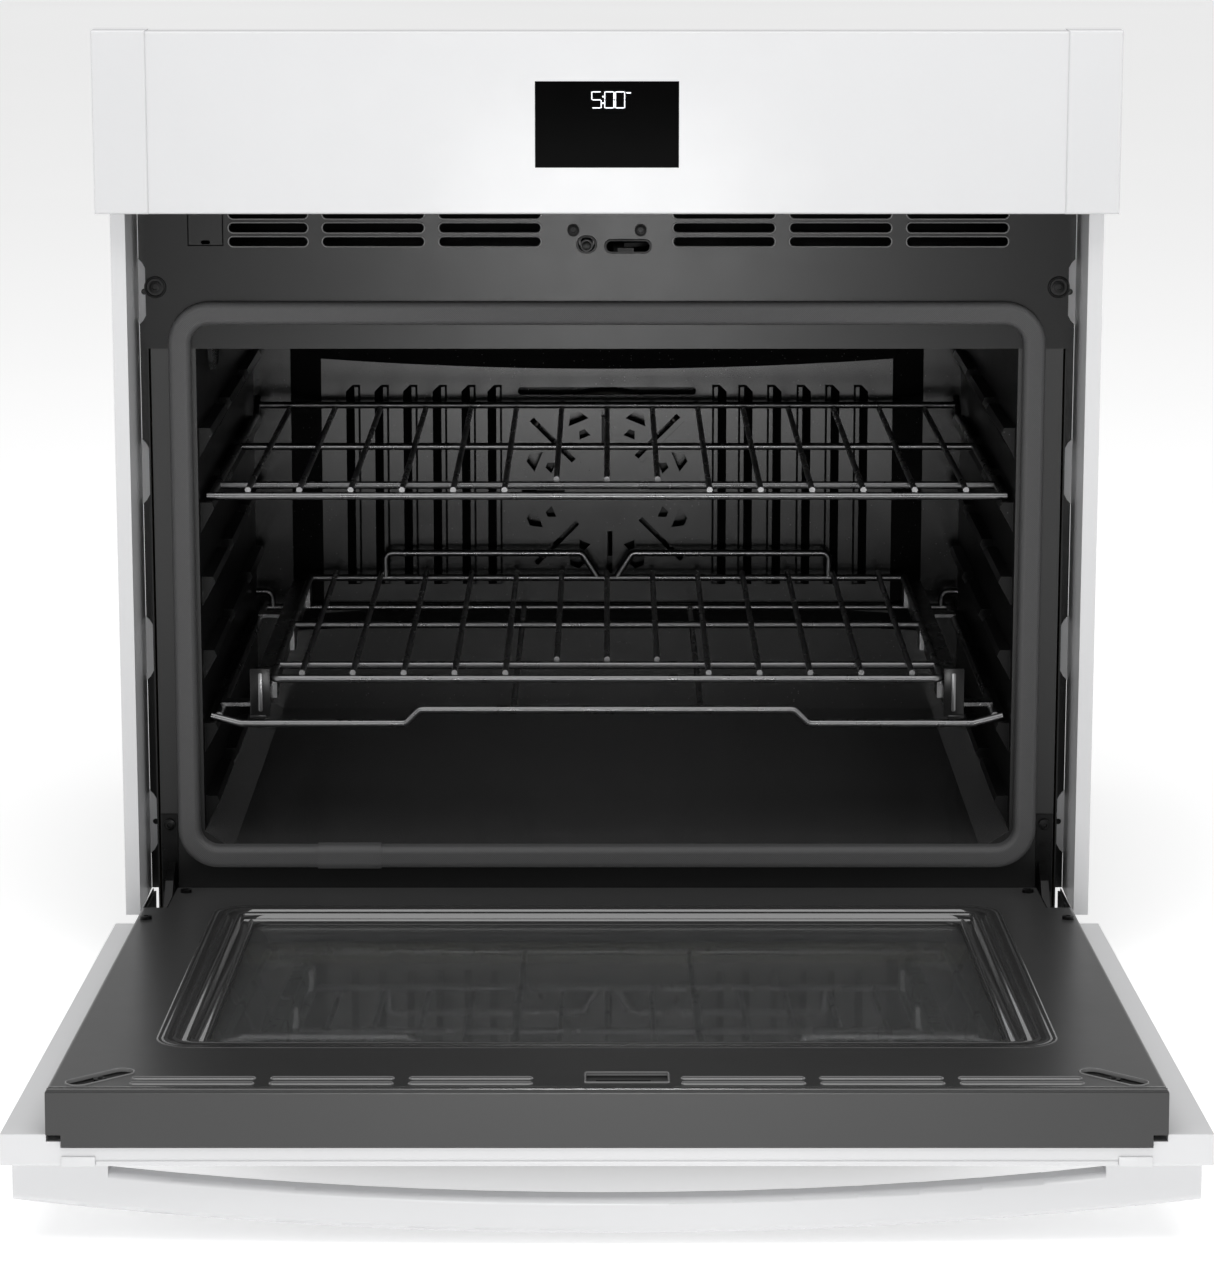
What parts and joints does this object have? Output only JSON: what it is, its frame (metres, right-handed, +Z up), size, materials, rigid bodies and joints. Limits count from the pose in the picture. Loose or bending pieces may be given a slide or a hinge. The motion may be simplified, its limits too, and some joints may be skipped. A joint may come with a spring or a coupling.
{
  "type": "wall oven",
  "caption": "Built-in single electric wall oven, white outside and dark inside, drop-down windowed door open, bowed bar handle, wire racks, fan cover, touch display.",
  "frame": {"origin": "on the underside, on the vertical centre plane, below the dark front frame face", "axes": "+X to the right seen from the room, +Y back into the cabinet, +Z up"},
  "size_m": [0.7556, 1.2082, 0.7278],
  "materials": {
    "white_enamel": "smooth white enamel",
    "white_moulding": "white moulded end cap",
    "black_enamel": "satin black enamel",
    "speckled_enamel": "dark porcelain enamel with fine flecks",
    "door_enamel": "satin dark grey enamel",
    "galvanised": "galvanised sheet",
    "display_black": "gloss black glass",
    "clear_glass": "clear oven glass",
    "dark_glass": "black printed glass",
    "bulb_glass": "clear bulb",
    "seal": "braided glass-fibre tube",
    "wool": "mineral wool",
    "rack_wire": "dark coated steel wire",
    "heater": "sheathed heating tube",
    "zinc": "zinc-plated steel",
    "black_oxide": "dark phosphated steel",
    "circuit": "circuit board",
    "black_plastic": "black plastic",
    "cast": "cast and pressed aluminium"
  },
  "bodies": {
    "cabinet": {"base_pan": "galvanised", "side_panel_left": "black_enamel", "side_panel_right": "black_enamel", "rear_cover": "galvanised", "top_cover": "galvanised", "front_header": "black_enamel", "front_frame": "black_enamel", "gasket": "seal", "gasket_splice": "seal", "cavity_floor": "speckled_enamel", "cavity_ceiling": "speckled_enamel", "cavity_left_wall": "speckled_enamel", "cavity_right_wall": "speckled_enamel", "cavity_back": "speckled_enamel", "convection_baffle": "speckled_enamel", "convection_motor": "zinc", "convection_element": "heater", "broil_element": "heater", "bake_element": "heater", "temperature_probe": "zinc", "lamp_housing": "zinc", "lamp_bulb": "bulb_glass", "lamp_lens": "clear_glass", "insulation": "wool", "side_trim_left": "white_enamel", "side_trim_right": "white_enamel", "control_panel": "white_enamel", "panel_cap_left": "white_moulding", "panel_cap_right": "white_moulding", "display_glass": "display_black", "display_board": "circuit", "power_board": "circuit", "blower_housing": "galvanised", "blower_motor": "zinc", "equipment_shelf": "black_enamel", "hinge_arm_left": "black_oxide", "hinge_arm_right": "black_oxide", "conduit_clamp": "cast", "cabinet_screws": "black_oxide", "glide_frame": "rack_wire"},
    "door": {"door_skin": "white_enamel", "outer_glass": "dark_glass", "door_cap_left": "white_moulding", "door_cap_right": "white_moulding", "handle": "white_enamel", "door_inner_panel": "door_enamel", "window_bezel": "door_enamel", "inner_glass": "clear_glass", "middle_glass": "clear_glass", "door_insulation": "wool", "hinge_housing_left": "black_oxide", "hinge_housing_right": "black_oxide", "door_screws": "black_oxide"},
    "upper_rack": {"upper_rack": "rack_wire"},
    "lower_rack": {"lower_rack": "rack_wire"},
    "glide_slides": {"glide_slides": "black_oxide"},
    "latch_hook": {"latch_hook": "black_oxide"},
    "switch_plunger": {"switch_plunger": "black_plastic"},
    "convection_fan": {"convection_fan": "black_oxide"},
    "blower_wheel": {"blower_wheel": "black_plastic"}
  },
  "joints": [
    {"name": "door_hinge", "type": "hinge", "parent": "cabinet", "child": "door", "pos_m": [0, -0.0547, 0.0311], "axis": [1, 0, 0], "range_deg": [-86.5, 0]},
    {"name": "upper_rack_slide", "type": "slide", "parent": "cabinet", "child": "upper_rack", "axis": [0, -1, 0], "range_m": [0, 0.3]},
    {"name": "lower_rack_slide", "type": "slide", "parent": "cabinet", "child": "lower_rack", "axis": [0, -1, 0], "range_m": [0, 0.34]},
    {"name": "glide_slides_slide", "type": "slide", "parent": "cabinet", "child": "glide_slides", "axis": [0, -1, 0], "range_m": [0, 0.17]},
    {"name": "latch_turn", "type": "hinge", "parent": "cabinet", "child": "latch_hook", "pos_m": [0.044, 0.026, 0.562], "axis": [0, 0, 1], "range_deg": [0, 12]},
    {"name": "switch_press", "type": "slide", "parent": "cabinet", "child": "switch_plunger", "axis": [0, 1, 0], "range_m": [0, 0.006], "stiffness_N_per_m": 300},
    {"name": "fan_spin", "type": "hinge", "parent": "cabinet", "child": "convection_fan", "pos_m": [0, 0.453, 0.2956], "axis": [0, 1, 0], "continuous": true},
    {"name": "blower_spin", "type": "hinge", "parent": "cabinet", "child": "blower_wheel", "pos_m": [-0.14, 0.33, 0.622], "axis": [0, 0, 1], "continuous": true}
  ],
  "couplings": [
    {"joint": "glide_slides_slide", "follows": "lower_rack_slide", "ratio": 0.5}
  ]
}
